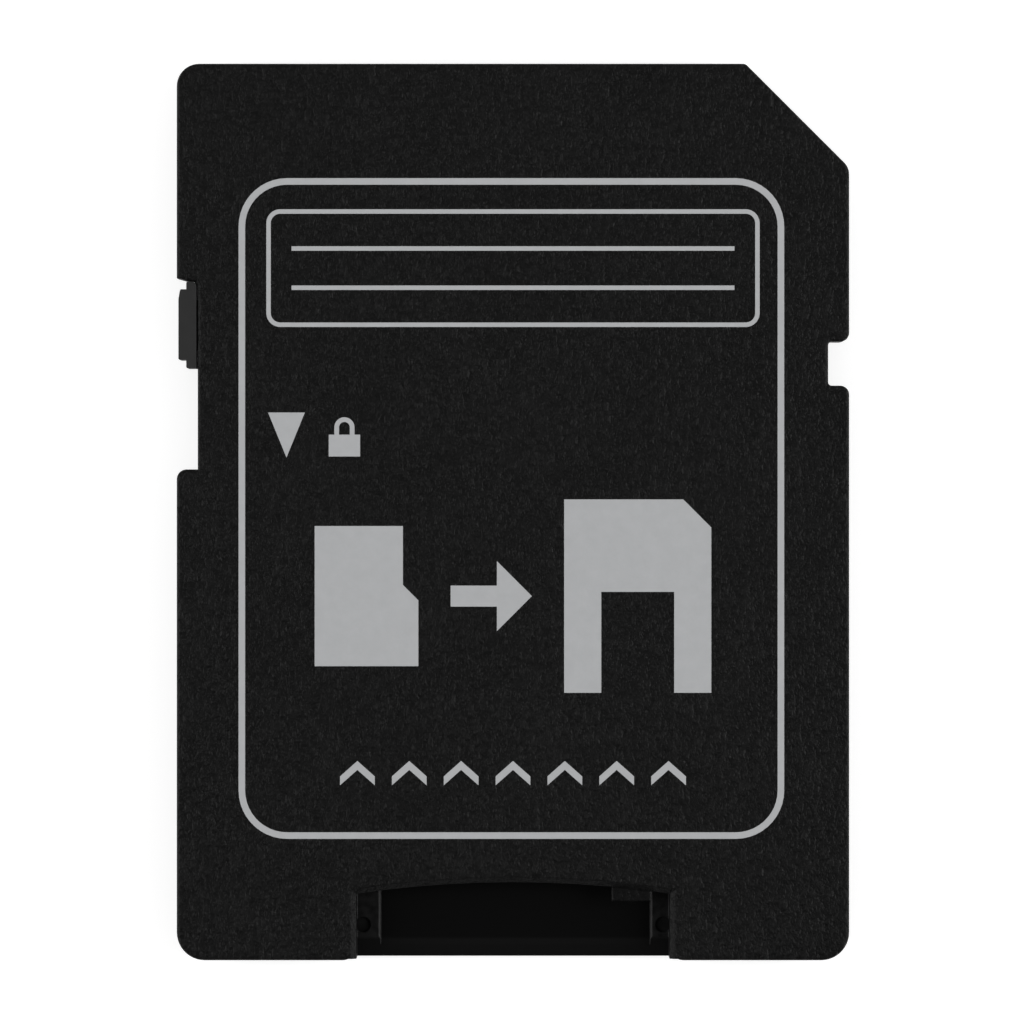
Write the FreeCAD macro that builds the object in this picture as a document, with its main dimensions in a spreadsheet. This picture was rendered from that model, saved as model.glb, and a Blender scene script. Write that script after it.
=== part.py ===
import FreeCAD, Part
import math
import os
from types import SimpleNamespace

import Sketcher

# A full-size memory card adapter with its slot empty, in millimetres.
# Two moulded shells meet at a parting plane and hold eight sprung metal terminals, a leaf
# spring that grips the small card, and the slider of the write lock.
# +X is the side with the cut corner, +Y points to the contact end that enters a reader, and
# +Z is the label face. The origin is under the middle of the flat back, which lies on Z 0.

SIZES = {
    # Outline, seen from the label side
    "card_width": 24.0,
    "card_length": 32.0,
    "card_thickness": 2.1,
    "corner_cut": 3.7,
    "lead_corner_radius": 0.8,
    "tail_corner_radius": 1.0,
    "cut_lead_radius": 0.25,
    "cut_side_radius": 0.6,
    "top_edge_radius": 0.12,
    "back_edge_chamfer": 0.12,
    "back_lead_radius": 0.3,
    "back_inset": 0.05,
    # Thickness steps: the shells part above the back, and the sides are thin rails
    "parting_height": 1.4,
    "rail_width": 0.75,
    "rail_step": 0.7,
    "rail_from_tail": 3.5,
    # Latch notch in the right edge
    "notch_start": 9.92,
    "notch_length": 1.57,
    "notch_depth": 0.75,
    "notch_outer_radius": 0.32,
    "notch_inner_radius": 0.13,
    # Window for the write lock in the left edge
    "window_start": 7.75,
    "window_length": 6.73,
    "window_depth": 0.75,
    "window_lead_width": 0.35,
    "window_lead_rise": 0.1,
    "window_outer_radius": 0.35,
    "window_inner_radius": 0.25,
    # Slider of the write lock
    "slider_length": 3.09,
    "slider_travel": 3.5,
    "slider_end_gap": 0.03,
    "slider_gap": 0.04,
    "slider_back_gap": 0.05,
    "slider_drop": 0.06,
    "slider_set_back": 0.34,
    "knob_set_back": 0.06,
    "knob_lead_gap": 0.27,
    "knob_length": 2.52,
    "knob_slope": 0.35,
    "knob_slope_drop": 0.06,
    "slider_radius": 0.06,
    "slider_back_radius": 0.17,
    "stem_length": 1.8,
    "stem_height": 0.3,
    "flange_length": 2.5,
    "flange_width": 0.5,
    "flange_drop": 0.4,
    "flange_rise": 0.22,
    "channel_wall": 0.35,
    # Slot for the small card
    "slot_width": 11.18,
    "slot_length": 15.25,
    "slot_height": 0.78,
    "slot_step_width": 1.3,
    "slot_step_length": 5.8,
    "cover_wall": 0.4,
    "left_ledge_width": 0.84,
    "right_ledge_width": 0.66,
    "relief_depth": 0.15,
    "relief_bevel": 0.06,
    "relief_end_gap": 1.1,
    "mouth_recess": 0.05,
    "mouth_bevel_length": 0.71,
    "mouth_bevel_drop": 0.37,
    "leg_corner_radius": 0.52,
    "dimple_radius": 0.28,
    "dimple_depth": 0.08,
    "dimple_inset": 0.2,
    "dimple_from_tail": 1.2,
    # Scoop in the tail edge of the cover, and the tongue under its edge
    "scoop_depth": 2.78,
    "scoop_sagitta": 0.41,
    "scoop_bevel": 0.19,
    "tongue_width": 1.4,
    "tongue_reach": 0.27,
    "tongue_root": 1.2,
    "tongue_thickness": 0.2,
    # Terminal block under the contact end, and the windows in it that bare the pads
    "block_length": 7.5,
    "block_fit_gap": 0.03,
    "terminal_thickness": 0.15,
    "wide_pads": 7,
    "pad_side_margin": 1.49,
    "pad_far_margin": 2.435,
    "pad_window_gap": 0.6,
    "seventh_pad_pitch": 2.425,
    "eighth_pad_pitch": 1.7,
    "seventh_window": 1.4,
    "eighth_window": 1.0,
    "pad_overlap": 0.12,
    "pad_tail_overlap": 0.5,
    "window_reach": 6.1,
    "pad_front": 1.1,
    "ledge_overlap": 0.1,
    "ledge_drop": 0.12,
    "terminal_gap": 0.1,
    "lead_width": 0.5,
    "lead_run": 0.6,
    "arms": 8,
    "arm_gap": 0.48,
    "arm_side_margin": 0.78,
    "arm_flat": 0.5,
    "arm_rise_length": 2.2,
    "arm_crown": 0.4,
    "arm_crown_rise": 0.33,
    "arm_tip_length": 0.65,
    "arm_tip_drop": 0.3,
    "groove_gap": 0.1,
    "groove_end_gap": 0.35,
    "groove_drop": 0.1,
    "bridge_width": 0.35,
    # Bay for the terminals and the ribs of the cover that hold them down
    "bay_side_wall": 1.2,
    "bay_lead_wall": 0.4,
    "bay_cut_wall": 0.57,
    "bay_tail_margin": 0.4,
    "bay_channel_wall": 0.35,
    "end_wall": 0.7,
    "ribs": 4,
    "rib_width": 0.6,
    "rib_pitch": 1.5,
    "rib_gap": 0.15,
    # Hollows beside the slot
    "slot_side_wall": 0.8,
    "hollow_floor": 0.6,
    "hollow_outer_wall": 1.4,
    "hollow_tail_wall": 4.2,
    "hollow_lead_gap": 1.2,
    # Leaf spring that grips the small card
    "leaf_thickness": 0.15,
    "leaf_height": 0.6,
    "leaf_floor_gap": 0.05,
    "leaf_set_back": 0.35,
    "leaf_screen": 0.25,
    "leaf_room": 1.0,
    "leaf_root_from_end": 12.65,
    "leaf_root": 1.5,
    "leaf_length": 6.2,
    "leaf_bump_from_tip": 1.4,
    "leaf_bump_half": 0.7,
    "leaf_bump_crown": 0.12,
    "leaf_bump_reach": 0.3,
    "leaf_opening_gap": 0.25,
    "leaf_fit_gap": 0.02,
    # Locating pins of the back shell in blind holes of the cover
    "pin_radius": 0.35,
    "pin_height": 0.25,
    "pin_gap": 0.05,
    "pin_from_side": 3.2,
    "pin_from_tail": 2.1,
    "pin_from_slot_end": 1.25,
    # Shallow field in the back
    "field_side": 2.6,
    "field_lead": 8.4,
    "field_tail": 5.4,
    "field_depth": 0.06,
    "field_radius": 0.8,
    # Ink on the label face: a frame line and the arrow of the write lock
    "ink_thickness": 0.015,
    "frame_line": 0.235,
    "frame_left": 2.21,
    "frame_right": 2.325,
    "frame_lead": 4.09,
    "frame_tail": 4.34,
    "frame_radius": 1.73,
    "arrow_from_left": 3.92,
    "arrow_from_lead": 12.45,
    "arrow_width": 1.314,
    "arrow_height": 1.61,
    # Padlock sign beside the arrow
    "padlock_gap": 0.85,
    "padlock_width": 1.12,
    "padlock_body": 0.78,
    "padlock_shackle": 0.72,
    "padlock_rise": 0.62,
    "padlock_line": 0.17,
    "padlock_drop": 0.04,
    # Field to write on: a thin box with ruled lines
    "writing_width": 17.6,
    "writing_height": 4.2,
    "writing_from_lead": 5.2,
    "writing_radius": 0.5,
    "writing_rules": 2,
    "writing_line": 0.16,
    "writing_margin": 0.9,
    # Sign in the middle: a small card, an arrow and the adapter
    "sign_from_lead": 19.0,
    "sign_height": 6.9,
    "sign_card_width": 3.7,
    "sign_card_height": 5.0,
    "sign_card_step": 0.55,
    "sign_card_shoulder": 2.1,
    "sign_gap": 1.15,
    "sign_arrow_length": 2.9,
    "sign_arrow_shaft": 0.75,
    "sign_arrow_head": 2.5,
    "sign_adapter_width": 5.25,
    "sign_adapter_cut": 1.0,
    "sign_slot_width": 2.6,
    "sign_slot_height": 3.6,
    # Row of chevrons that point to the contact end
    "chevrons": 7,
    "chevron_pitch": 1.85,
    "chevron_half": 0.62,
    "chevron_rise": 0.55,
    "chevron_line": 0.32,
    "chevrons_from_lead": 25.75,
}


class Size:
    """A length with its value and the expression over the sheet's cells that gives it."""

    def __init__(self, value, text):
        self.value = value
        self.text = text

    def __add__(self, other):
        other = as_size(other)
        return Size(self.value + other.value, f"({self.text} + {other.text})")

    def __sub__(self, other):
        other = as_size(other)
        return Size(self.value - other.value, f"({self.text} - {other.text})")

    def __mul__(self, other):
        other = as_size(other)
        return Size(self.value * other.value, f"({self.text} * {other.text})")

    def __truediv__(self, other):
        other = as_size(other)
        return Size(self.value / other.value, f"({self.text} / {other.text})")

    def __neg__(self):
        return Size(-self.value, f"(0 - {self.text})")


def as_size(number):
    """A plain number as a Size."""
    if isinstance(number, Size):
        return number
    return Size(float(number), repr(float(number)))


def smaller(first, second):
    """The smaller of two sizes."""
    return Size(min(first.value, second.value), f"min({first.text}; {second.text})")


def root(size):
    """The square root of a size."""
    return Size(math.sqrt(size.value), f"sqrt({size.text})")


doc = FreeCAD.newDocument("memory_card_adapter")
sheet = doc.addObject("Spreadsheet::Sheet", "sizes")
for row, (alias, number) in enumerate(SIZES.items(), start=1):
    sheet.set(f"A{row}", alias)
    sheet.set(f"B{row}", str(number))
    sheet.setAlias(f"B{row}", alias)
doc.recompute()
s = SimpleNamespace(**{name: Size(number, f"sizes.{name}") for name, number in SIZES.items()})

# Places that several pieces share. A cut that leaves the part runs BEYOND it, NEAR is how close
# an edge has to lie to be found, and BEVEL_ANGLE narrows a bevel from the face down, in degrees.
ZERO = as_size(0)
BEYOND = as_size(1)
NEAR = 0.002
BEVEL_ANGLE = -45
right = s.card_width / 2
left = -right
lead = s.card_length / 2
tail = -lead
cover_height = s.card_thickness - s.parting_height
ceiling = s.card_thickness - s.cover_wall
slot_floor = ceiling - s.slot_height
contact_depth = s.rail_step
terminal_top = contact_depth + s.terminal_thickness
slot_right = s.slot_width / 2
slot_left = -slot_right
slot_end = tail + s.slot_length
mouth = tail + s.mouth_recess
step_right = slot_right - s.slot_step_width
step_tail = slot_end - s.slot_step_length
window_lead = lead - s.window_start
window_tail = window_lead - s.window_length
window_back = left + s.window_depth


def new_body(name, x=ZERO, y=ZERO, z=ZERO):
    """An empty body with its label, placed at x, y, z."""
    body = doc.addObject("PartDesign::Body", name)
    body.Label = name
    for axis, size in (("x", x), ("y", y), ("z", z)):
        body.setExpression(f"Placement.Base.{axis}", size.text)
    return body


def add_edge(sketch, start, end, centre):
    """One line or arc from start to end; gives its index and the numbers of its two ends."""
    if centre is None:
        return sketch.addGeometry(Part.LineSegment(start, end)), 1, 2
    circle = Part.Circle(centre, FreeCAD.Vector(0, 0, 1), start.distanceToPoint(centre))
    from_centre = start - centre
    to_end = end - centre
    start_angle = math.atan2(from_centre.y, from_centre.x)
    end_angle = math.atan2(to_end.y, to_end.x)
    if from_centre.cross(to_end).z > 0:
        return sketch.addGeometry(Part.ArcOfCircle(circle, start_angle, end_angle)), 1, 2
    return sketch.addGeometry(Part.ArcOfCircle(circle, end_angle, start_angle)), 2, 1


def new_sketch(body, name, plane, offset):
    """An empty sketch on one of the body's own planes, moved along its normal by offset."""
    sketch = body.newObject("Sketcher::SketchObject", name)
    support = next(item for item in body.Origin.OriginFeatures if item.Role == plane)
    sketch.AttachmentSupport = (support, [""])
    sketch.MapMode = "FlatFace"
    sketch.setExpression("AttachmentOffset.Base.z", offset.text)
    return sketch


def hold(sketch, kind, ends, size):
    """A dimension of the sketch, bound to the sheet."""
    index = sketch.addConstraint(Sketcher.Constraint(kind, *ends, size.value))
    sketch.setExpression(f"Constraints[{index}]", size.text)


def draw(body, name, loops, plane="XY_Plane", offset=ZERO):
    """A sketch of closed loops whose corners are held by the sheet's sizes.

    A loop's point is (x, y), or (x, y, (centre x, centre y), radius) where an arc starts."""
    sketch = new_sketch(body, name, plane, offset)
    for loop in loops:
        corners = [FreeCAD.Vector(point[0].value, point[1].value, 0) for point in loop]
        edges = []
        for number, point in enumerate(loop):
            centre = None
            if len(point) > 2:
                centre = FreeCAD.Vector(point[2][0].value, point[2][1].value, 0)
            edges.append(add_edge(sketch, corners[number], corners[(number + 1) % len(loop)], centre))
        for number, (edge, _, last) in enumerate(edges):
            following, following_first, _ = edges[(number + 1) % len(edges)]
            sketch.addConstraint(Sketcher.Constraint("Coincident", edge, last, following, following_first))
        for (edge, first, _), point in zip(edges, loop):
            hold(sketch, "DistanceX", (-1, 1, edge, first), point[0])
            hold(sketch, "DistanceY", (-1, 1, edge, first), point[1])
            if len(point) > 2:
                hold(sketch, "Radius", (edge,), point[3])
    return sketch


def draw_circles(body, name, centres, radius, offset=ZERO):
    """A sketch of equal circles round the given centres."""
    sketch = new_sketch(body, name, "XY_Plane", offset)
    for x, y in centres:
        middle = FreeCAD.Vector(x.value, y.value, 0)
        edge = sketch.addGeometry(Part.Circle(middle, FreeCAD.Vector(0, 0, 1), radius.value))
        hold(sketch, "DistanceX", (-1, 1, edge, 3), x)
        hold(sketch, "DistanceY", (-1, 1, edge, 3), y)
        hold(sketch, "Radius", (edge,), radius)
    return sketch


def pad(body, sketch, height, symmetric=False):
    """Material from the sketch along its normal, or to both sides of it."""
    feature = body.newObject("PartDesign::Pad", sketch.Name + "_pad")
    feature.Profile = sketch
    feature.setExpression("Length", height.text)
    if symmetric:
        feature.SideType = "Symmetric"
    doc.recompute()


def cut(body, sketch, depth, upward=False, symmetric=False, taper=0):
    """A pocket from the sketch, down by default; it has to take material away."""
    before = body.Shape.Volume
    feature = body.newObject("PartDesign::Pocket", sketch.Name + "_cut")
    feature.Profile = sketch
    feature.Reversed = upward
    feature.TaperAngle = taper
    feature.setExpression("Length", depth.text)
    if symmetric:
        feature.SideType = "Symmetric"
    doc.recompute()
    if body.Shape.Volume >= before:
        raise RuntimeError(f"{feature.Name} cuts nothing")


def edges_at(body, x=None, y=None, z=None):
    """Names of the body's edges that keep to the given places of its own frame."""
    names = []
    for number, edge in enumerate(body.Tip.Shape.Edges, start=1):
        box = edge.BoundBox
        spans = ((x, box.XMin, box.XMax), (y, box.YMin, box.YMax), (z, box.ZMin, box.ZMax))
        if all(max(high - size.value, size.value - low) < NEAR for size, low, high in spans if size):
            names.append(f"Edge{number}")
    return names


def dress(body, kind, name, edges, size):
    """A Fillet or Chamfer of the given size on the named edges of the body."""
    if not edges:
        raise RuntimeError(f"{name} found no edge")
    base = body.Tip
    feature = body.newObject("PartDesign::" + kind, name)
    feature.Base = (base, edges)
    feature.setExpression("Radius" if kind == "Fillet" else "Size", size.text)
    doc.recompute()


def rectangle(low_x, low_y, high_x, high_y):
    """The four corners of a rectangle."""
    return [(low_x, low_y), (high_x, low_y), (high_x, high_y), (low_x, high_y)]


def rounded(low_x, low_y, high_x, high_y, radius):
    """A rectangle with four round corners."""
    in_low_x, in_high_x = low_x + radius, high_x - radius
    in_low_y, in_high_y = low_y + radius, high_y - radius
    return [
        (in_low_x, low_y),
        (in_high_x, low_y, (in_high_x, in_low_y), radius),
        (high_x, in_low_y),
        (high_x, in_high_y, (in_high_x, in_high_y), radius),
        (in_high_x, high_y),
        (in_low_x, high_y, (in_low_x, in_high_y), radius),
        (low_x, in_high_y),
        (low_x, in_low_y, (in_low_x, in_low_y), radius),
    ]


# Outline that both shells share
notch_lead = lead - s.notch_start
notch_tail = notch_lead - s.notch_length
notch_back = right - s.notch_depth
OUTLINE = [
    (left, tail),
    (right, tail),
    (right, notch_tail),
    (notch_back, notch_tail),
    (notch_back, notch_lead),
    (right, notch_lead),
    (right, lead - s.corner_cut),
    (right - s.corner_cut, lead),
    (left, lead),
    (left, window_lead + s.window_lead_rise),
    (left + s.window_lead_width, window_lead),
    (window_back, window_lead),
    (window_back, window_tail),
    (left, window_tail),
]
OUTLINE_CORNERS = [
    ("tail_left", left, tail, s.tail_corner_radius),
    ("tail_right", right, tail, s.tail_corner_radius),
    ("notch_tail_outer", right, notch_tail, s.notch_outer_radius),
    ("notch_tail_inner", notch_back, notch_tail, s.notch_inner_radius),
    ("notch_lead_inner", notch_back, notch_lead, s.notch_inner_radius),
    ("notch_lead_outer", right, notch_lead, s.notch_outer_radius),
    ("cut_side", right, lead - s.corner_cut, s.cut_side_radius),
    ("cut_lead", right - s.corner_cut, lead, s.cut_lead_radius),
    ("lead_left", left, lead, s.lead_corner_radius),
    ("window_tail_outer", left, window_tail, s.window_outer_radius),
]

# Channel behind the window, in which the slider's flange runs, and the slit for its stem
channel_left = window_back + s.channel_wall
channel_right = channel_left + s.flange_width + s.slider_gap * 2
slider_lead = window_lead - s.slider_end_gap
slider_middle = slider_lead - s.slider_length / 2
travel_end = slider_middle - s.slider_travel - s.slider_gap
flange_half = s.flange_length / 2 + s.slider_gap
stem_half = s.stem_length / 2 + s.slider_gap
CHANNEL = rectangle(channel_left, travel_end - flange_half, channel_right, slider_middle + flange_half)
SLIT = rectangle(window_back - s.slider_gap * 2, travel_end - stem_half,
                 channel_left + s.slider_gap, slider_middle + stem_half)

# Bay for the terminals, kept clear of the outer walls, the cut corner and the channel
bay_right = right - s.bay_side_wall
bay_left = -bay_right
bay_lead = lead - s.bay_lead_wall
bay_tail = slot_end + s.end_wall
pad_tail = lead - s.window_reach - s.pad_tail_overlap
bay_step = pad_tail - s.rib_gap
bay_shoulder = channel_right + s.bay_channel_wall
bay_cut = s.corner_cut + s.bay_cut_wall
BAY = [
    (slot_left - s.bay_tail_margin, bay_tail),
    (slot_right + s.bay_tail_margin, bay_tail),
    (bay_right, bay_step),
    (bay_right, lead - bay_cut + s.bay_side_wall),
    (right - bay_cut + s.bay_lead_wall, bay_lead),
    (bay_left, bay_lead),
    (bay_left, bay_step),
    (bay_shoulder, bay_step),
    (bay_shoulder, pad_tail - s.lead_run * 2),
]

# Slot for the small card: a corner of it is filled, so the card enters one way round
SLOT = [
    (slot_left, tail - BEYOND),
    (slot_right, tail - BEYOND),
    (slot_right, step_tail),
    (step_right, step_tail),
    (step_right, slot_end),
    (slot_left, slot_end),
]

# Pocket of the leaf spring beside the slot
leaf_x = slot_right + s.leaf_set_back
leaf_tail = slot_end - s.leaf_root_from_end
leaf_lead = leaf_tail + s.leaf_length
leaf_bump = leaf_lead - s.leaf_bump_from_tip
leaf_room_right = slot_right + s.leaf_room
leaf_room_tail = leaf_tail + s.leaf_root
leaf_room_lead = leaf_lead + s.leaf_opening_gap
leaf_screen_x = slot_right + s.leaf_screen
groove_left = leaf_x - s.leaf_fit_gap
groove_right = leaf_x + s.leaf_thickness + s.leaf_fit_gap
opening_half = s.leaf_bump_half + s.leaf_opening_gap
LEAF_POCKET = [
    (groove_left, leaf_tail - s.leaf_fit_gap),
    (groove_right, leaf_tail - s.leaf_fit_gap),
    (groove_right, leaf_room_tail),
    (leaf_room_right, leaf_room_tail),
    (leaf_room_right, leaf_room_lead),
    (leaf_screen_x, leaf_room_lead),
    (leaf_screen_x, leaf_bump + opening_half),
    (slot_right - s.leaf_fit_gap, leaf_bump + opening_half),
    (slot_right - s.leaf_fit_gap, leaf_bump - opening_half),
    (leaf_screen_x, leaf_bump - opening_half),
    (leaf_screen_x, leaf_room_tail),
    (groove_left, leaf_room_tail),
]

# Hollows that keep the moulded walls thin
hollow_tail = tail + s.hollow_tail_wall
hollow_lead = slot_end - s.hollow_lead_gap
left_hollow_lead = smaller(hollow_lead, travel_end - flange_half - s.channel_wall)
HOLLOWS = [
    rectangle(left + s.hollow_outer_wall, hollow_tail, slot_left - s.slot_side_wall, left_hollow_lead),
    rectangle(leaf_room_right + s.slot_side_wall, hollow_tail, right - s.hollow_outer_wall, hollow_lead),
]

# Locating pins, two near the tail and two beside the bay
pin_right = right - s.pin_from_side
PINS = [(x, y) for x in (-pin_right, pin_right)
        for y in (tail + s.pin_from_tail, slot_end + s.pin_from_slot_end)]

# Pads in order from the cut corner: the widths of their windows, their middles and lead ends
wide_pads = SIZES["wide_pads"]
narrow_span = s.pad_far_margin + s.seventh_pad_pitch + s.eighth_pad_pitch
wide_span = s.card_width - s.pad_side_margin - narrow_span
pad_pitch = (wide_span + s.pad_window_gap / 2) / (wide_pads - 0.5)
wide_window = pad_pitch - s.pad_window_gap
WINDOWS = [wide_window] * wide_pads + [s.seventh_window, s.eighth_window]
STEPS = [pad_pitch] * (wide_pads - 1) + [s.seventh_pad_pitch, s.eighth_pad_pitch]
pad_middles = [right - s.pad_side_margin - wide_window / 2]
for step in STEPS:
    pad_middles.append(pad_middles[-1] - step)
pad_lead = lead - s.pad_front
corner_pad_side = pad_middles[0] + wide_window / 2 + s.pad_overlap
corner_pad_lead = lead - bay_cut + right - corner_pad_side - s.terminal_gap
PAD_LEADS = [corner_pad_lead] + [pad_lead] * len(STEPS)

# Arms that press on the small card, centred on its narrow end
arms = SIZES["arms"]
arms_span = step_right - slot_left - s.arm_side_margin * 2
arm_width = (arms_span - s.arm_gap * (arms - 1)) / arms
first_arm = step_right - s.arm_side_margin - arm_width / 2
arm_middles = [first_arm - (arm_width + s.arm_gap) * number for number in range(arms)]
arm_crown_lead = slot_end - s.arm_rise_length
arm_crown_tail = arm_crown_lead - s.arm_crown
arm_tip = arm_crown_tail - s.arm_tip_length


def round_outline(body):
    """The round corners of the outline, one fillet each."""
    for name, x, y, radius in OUTLINE_CORNERS:
        dress(body, "Fillet", f"{body.Name}_{name}", edges_at(body, x=x, y=y), radius)


def mouth_loop():
    """The cut that sets the slot's mouth back and rounds the corners of the legs beside it."""
    radius = s.leg_corner_radius
    drop = radius - s.mouth_recess
    reach = root(radius * radius - drop * drop)
    corner_left = slot_left - radius
    corner_right = slot_right + radius
    return [
        (corner_left, tail - BEYOND),
        (corner_right, tail - BEYOND),
        (corner_right, tail, (corner_right, tail + radius), radius),
        (corner_right - reach, mouth),
        (corner_left + reach, mouth, (corner_left, tail + radius), radius),
        (corner_left, tail),
    ]


def slot_mouth(body):
    """The floor at the slot's mouth: recessed edge, bevel, lowered middle and two dimples."""
    cut(body, draw(body, "mouth_recess", [mouth_loop()]), s.parting_height, upward=True)
    bevel = [
        (mouth + s.mouth_bevel_length, slot_floor),
        (mouth, slot_floor - s.mouth_bevel_drop),
        (mouth - BEYOND, slot_floor - s.mouth_bevel_drop),
        (mouth - BEYOND, slot_floor),
    ]
    cut(body, draw(body, "mouth_bevel", [bevel], plane="YZ_Plane"), s.slot_width, symmetric=True)
    relief_left = slot_left + s.left_ledge_width
    relief_right = slot_right - s.right_ledge_width
    relief = rectangle(relief_left, tail - BEYOND, relief_right, step_tail - s.relief_end_gap)
    cut(body, draw(body, "floor_relief", [relief], offset=slot_floor), s.relief_depth)
    sides = edges_at(body, x=relief_left, z=slot_floor) + edges_at(body, x=relief_right, z=slot_floor)
    dress(body, "Chamfer", "relief_edges", sides, s.relief_bevel)
    dimples = [(slot_left + s.dimple_inset, tail + s.dimple_from_tail),
               (slot_right - s.dimple_inset, tail + s.dimple_from_tail)]
    sketch = draw_circles(body, "dimples", dimples, s.dimple_radius, offset=s.parting_height)
    cut(body, sketch, s.parting_height - slot_floor + s.dimple_depth)


def pad_windows(body):
    """Nine windows in the back, open at the contact end, with a plastic ledge before each pad."""
    windows = []
    ledges = []
    for middle, width, front in zip(pad_middles, WINDOWS, PAD_LEADS):
        low_x, high_x = middle - width / 2, middle + width / 2
        ledge_tail = front - s.ledge_overlap
        windows.append(rectangle(low_x, lead - s.window_reach, high_x, ledge_tail))
        ledges.append(rectangle(low_x, ledge_tail - s.ledge_overlap, high_x, lead + BEYOND))
    cut(body, draw(body, "pad_windows", windows), contact_depth, upward=True)
    cut(body, draw(body, "pad_ledges", ledges), contact_depth - s.ledge_drop, upward=True)


def back_outline():
    """The raised back of the shell, full width at the tail and narrower between the rails."""
    rail_tail = tail + s.rail_from_tail
    low_x, high_x = left + s.rail_width, right - s.rail_width
    high_y = lead - s.block_length - s.block_fit_gap
    round_tail = s.tail_corner_radius
    return [
        (left + round_tail, tail),
        (right - round_tail, tail, (right - round_tail, tail + round_tail), round_tail),
        (right, tail + round_tail),
        (right, rail_tail),
        (high_x, rail_tail),
        (high_x, high_y),
        (low_x, high_y),
        (low_x, rail_tail),
        (left, rail_tail),
        (left, tail + round_tail, (left + round_tail, tail + round_tail), round_tail),
    ]


def terminal_block():
    """The moulded block under the contact end, with the raised back's form and the pads' windows."""
    body = new_body("terminal_block")
    low_x, high_x = left + s.rail_width, right - s.rail_width
    high_y = lead - s.back_inset
    radius = s.back_lead_radius
    block = [
        (low_x, lead - s.block_length),
        (high_x, lead - s.block_length),
        (high_x, high_y - s.corner_cut + s.rail_width),
        (right - s.corner_cut, high_y),
        (low_x + radius, high_y, (low_x + radius, high_y - radius), radius),
        (low_x, high_y - radius),
    ]
    pad(body, draw(body, "block_outline", [block]), s.rail_step)
    dress(body, "Chamfer", "block_edge", edges_at(body, z=ZERO), s.back_edge_chamfer)
    pad_windows(body)
    return body


def base_shell():
    """The contact-side shell: back, rails, slot floor, terminal bay and spring pocket."""
    body = new_body("base_shell")
    pad(body, draw(body, "base_outline", [OUTLINE], offset=s.rail_step), s.parting_height - s.rail_step)
    round_outline(body)
    pad(body, draw(body, "raised_back", [back_outline()]), s.rail_step)
    dress(body, "Chamfer", "back_edge", edges_at(body, z=ZERO), s.back_edge_chamfer)
    top = s.parting_height
    cut(body, draw(body, "base_slot", [SLOT], offset=top), top - slot_floor)
    slot_mouth(body)
    threshold = rectangle(slot_left, slot_end - BEYOND, step_right, bay_tail)
    cut(body, draw(body, "base_threshold", [threshold], offset=top), top - slot_floor)
    grooves = []
    for middle in arm_middles:
        half = arm_width / 2 + s.groove_gap
        grooves.append(rectangle(middle - half, arm_tip - s.groove_end_gap, middle + half, bay_tail))
    cut(body, draw(body, "arm_grooves", grooves, offset=slot_floor),
        slot_floor - contact_depth + s.groove_drop)
    cut(body, draw(body, "base_bay", [BAY], offset=top), top - contact_depth)
    cut(body, draw(body, "base_channel", [CHANNEL], offset=top), s.flange_drop + s.slider_gap)
    cut(body, draw(body, "base_slit", [SLIT], offset=top), s.stem_height / 2 + s.slider_gap)
    cut(body, draw(body, "base_hollows", HOLLOWS, offset=top), top - s.hollow_floor)
    cut(body, draw(body, "base_leaf_pocket", [LEAF_POCKET], offset=top), top - slot_floor)
    field = rounded(left + s.field_side, tail + s.field_tail, right - s.field_side, lead - s.field_lead,
                    s.field_radius)
    cut(body, draw(body, "back_field", [field]), s.field_depth, upward=True)
    pad(body, draw_circles(body, "locating_pins", PINS, s.pin_radius, offset=top), s.pin_height)
    return body


def hold_down_ribs(body):
    """Ribs under the cover: one closes the slot's end and the others press the terminals down."""
    wall = rectangle(slot_left + s.rib_gap, slot_end, step_right - s.rib_gap, bay_tail - s.rib_gap)
    wall_foot = slot_floor + s.slider_gap
    pad(body, draw(body, "slot_end_wall", [wall], offset=wall_foot - s.parting_height), ceiling - wall_foot)
    ribs = [rectangle(slot_left, bay_tail + s.rib_gap, slot_right, bay_tail + s.rib_gap + s.rib_width)]
    for number in range(SIZES["ribs"]):
        high_y = pad_lead - s.rib_pitch * number - s.rib_gap
        corner_limit = right + lead - bay_cut - high_y - s.rib_gap
        rib_right = smaller(bay_right - s.rib_gap, corner_limit)
        ribs.append(rectangle(bay_left + s.rib_gap, high_y - s.rib_width, rib_right, high_y))
    pad(body, draw(body, "hold_down_ribs", ribs, offset=terminal_top - s.parting_height),
        ceiling - terminal_top)


def scoop_loop(growth):
    """The scoop's outline, which ends in an arc, moved outwards all round."""
    radius = (slot_right * slot_right + s.scoop_sagitta * s.scoop_sagitta) / (s.scoop_sagitta * 2)
    centre = tail + s.scoop_depth - radius
    side = slot_right + growth
    arc = radius + growth
    arc_end = centre + root(arc * arc - side * side)
    return [
        (-side, tail - BEYOND),
        (side, tail - BEYOND),
        (side, arc_end, (ZERO, centre), arc),
        (-side, arc_end),
    ]


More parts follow.
